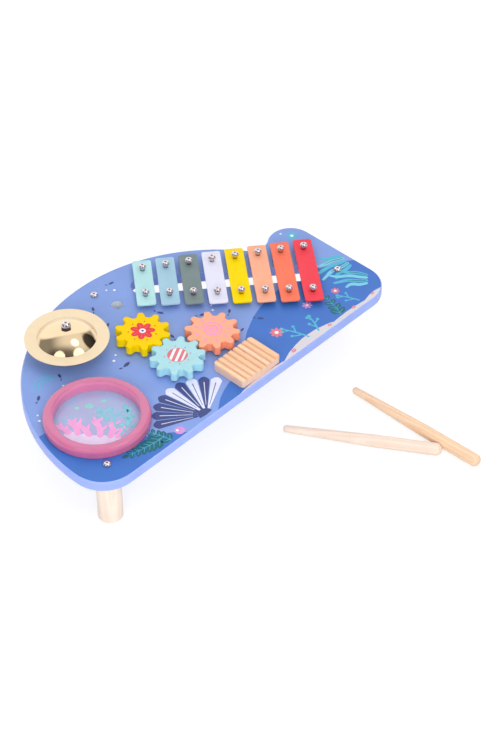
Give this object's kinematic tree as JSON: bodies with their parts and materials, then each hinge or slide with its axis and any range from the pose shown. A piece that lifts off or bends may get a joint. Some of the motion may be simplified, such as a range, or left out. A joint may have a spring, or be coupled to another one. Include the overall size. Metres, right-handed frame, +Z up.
{
  "type": "musical activity table",
  "caption": "Low wooden toy table with chime bars over a slot, a drum, a cymbal, meshing gears, a ridged scraper and loose sticks.",
  "frame": {"origin": "middle of the floor area that the table and its loose sticks take up, at floor level", "axes": "+Z up; +X along the board's straight front edge, from the drum to the chime bars; +Y from the straight front edge towards the round back"},
  "size_m": [0.4226, 0.4308, 0.1052],
  "materials": {
    "blue_lacquer": "satin lacquer with a printed top",
    "beech": "fine sanded, thin clear coat",
    "scraper_wood": "sanded softwood",
    "stick_wood": "fine sanded, thin clear coat",
    "bright_steel": "polished plating",
    "soft_washer": "matt",
    "film": "clear and glossy, printed",
    "pink_lacquer": "gloss lacquer",
    "gold_metal": "polished, pale gold",
    "gear_yellow": "satin lacquer with a printed top",
    "gear_mint": "satin lacquer with a printed top",
    "gear_peach": "satin lacquer with a printed top",
    "bar_mint": "satin enamel",
    "bar_light_blue": "satin enamel",
    "bar_grey_green": "satin enamel",
    "bar_lavender": "satin enamel",
    "bar_yellow": "satin enamel",
    "bar_peach": "satin enamel",
    "bar_orange": "satin enamel",
    "bar_red": "satin enamel"
  },
  "bodies": {
    "table": {"board": "blue_lacquer", "leg_left": "beech", "leg_right": "beech", "leg_back": "beech", "leg_screws": "bright_steel", "bar_screws": "bright_steel", "bar_spacers": "soft_washer", "gear_spacers": "soft_washer", "cymbal_post": "beech", "cymbal_soft_washer": "soft_washer", "cymbal_head_washer": "soft_washer", "cymbal_screw": "bright_steel", "cymbal_nut_washer": "bright_steel", "cymbal_nut": "bright_steel", "drum_ring": "pink_lacquer", "drum_film": "film", "drum_screws": "bright_steel", "scraper": "scraper_wood", "scraper_screws": "bright_steel"},
    "bar_1": {"chime_bar_1": "bar_mint"},
    "bar_2": {"chime_bar_2": "bar_light_blue"},
    "bar_3": {"chime_bar_3": "bar_grey_green"},
    "bar_4": {"chime_bar_4": "bar_lavender"},
    "bar_5": {"chime_bar_5": "bar_yellow"},
    "bar_6": {"chime_bar_6": "bar_peach"},
    "bar_7": {"chime_bar_7": "bar_orange"},
    "bar_8": {"chime_bar_8": "bar_red"},
    "mint_wheel": {"mint_gear": "gear_mint", "mint_gear_axle": "beech", "mint_gear_retainer": "bright_steel", "mint_gear_screw": "bright_steel"},
    "yellow_wheel": {"yellow_gear": "gear_yellow", "yellow_gear_axle": "beech", "yellow_gear_retainer": "bright_steel", "yellow_gear_screw": "bright_steel"},
    "peach_wheel": {"peach_gear": "gear_peach", "peach_gear_axle": "beech", "peach_gear_retainer": "bright_steel", "peach_gear_screw": "bright_steel"},
    "cymbal_disc": {"cymbal": "gold_metal"},
    "loose_stick_1": {"stick_1": "stick_wood"},
    "loose_stick_2": {"stick_2": "stick_wood"}
  },
  "joints": [
    {"name": "bar_1_lift", "type": "slide", "parent": "table", "child": "bar_1", "axis": [0, 0, 1], "range_m": [0, 0.0035]},
    {"name": "bar_2_lift", "type": "slide", "parent": "table", "child": "bar_2", "axis": [0, 0, 1], "range_m": [0, 0.0035]},
    {"name": "bar_3_lift", "type": "slide", "parent": "table", "child": "bar_3", "axis": [0, 0, 1], "range_m": [0, 0.0035]},
    {"name": "bar_4_lift", "type": "slide", "parent": "table", "child": "bar_4", "axis": [0, 0, 1], "range_m": [0, 0.0035]},
    {"name": "bar_5_lift", "type": "slide", "parent": "table", "child": "bar_5", "axis": [0, 0, 1], "range_m": [0, 0.0035]},
    {"name": "bar_6_lift", "type": "slide", "parent": "table", "child": "bar_6", "axis": [0, 0, 1], "range_m": [0, 0.0035]},
    {"name": "bar_7_lift", "type": "slide", "parent": "table", "child": "bar_7", "axis": [0, 0, 1], "range_m": [0, 0.0035]},
    {"name": "bar_8_lift", "type": "slide", "parent": "table", "child": "bar_8", "axis": [0, 0, 1], "range_m": [0, 0.0035]},
    {"name": "mint_gear_spin", "type": "hinge", "parent": "table", "child": "mint_wheel", "pos_m": [-0.0344, 0.05681, 0.0721], "axis": [0, 0, 1], "continuous": true},
    {"name": "yellow_gear_spin", "type": "hinge", "parent": "table", "child": "yellow_wheel", "pos_m": [-0.03314, 0.10819, 0.0721], "axis": [0, 0, 1], "continuous": true},
    {"name": "peach_gear_spin", "type": "hinge", "parent": "table", "child": "peach_wheel", "pos_m": [0.01698, 0.05824, 0.0721], "axis": [0, 0, 1], "continuous": true},
    {"name": "cymbal_spin", "type": "hinge", "parent": "table", "child": "cymbal_disc", "pos_m": [-0.09489, 0.15405, 0.085], "axis": [0, 0, 1], "continuous": true},
    {"name": "stick_1_lift", "type": "slide", "parent": "table", "child": "loose_stick_1", "axis": [0, 0, 1], "range_m": [0, 0.12]},
    {"name": "stick_2_lift", "type": "slide", "parent": "table", "child": "loose_stick_2", "axis": [0, 0, 1], "range_m": [0, 0.12]}
  ],
  "couplings": [
    {"joint": "yellow_gear_spin", "follows": "mint_gear_spin", "ratio": -1},
    {"joint": "peach_gear_spin", "follows": "mint_gear_spin", "ratio": -1}
  ]
}
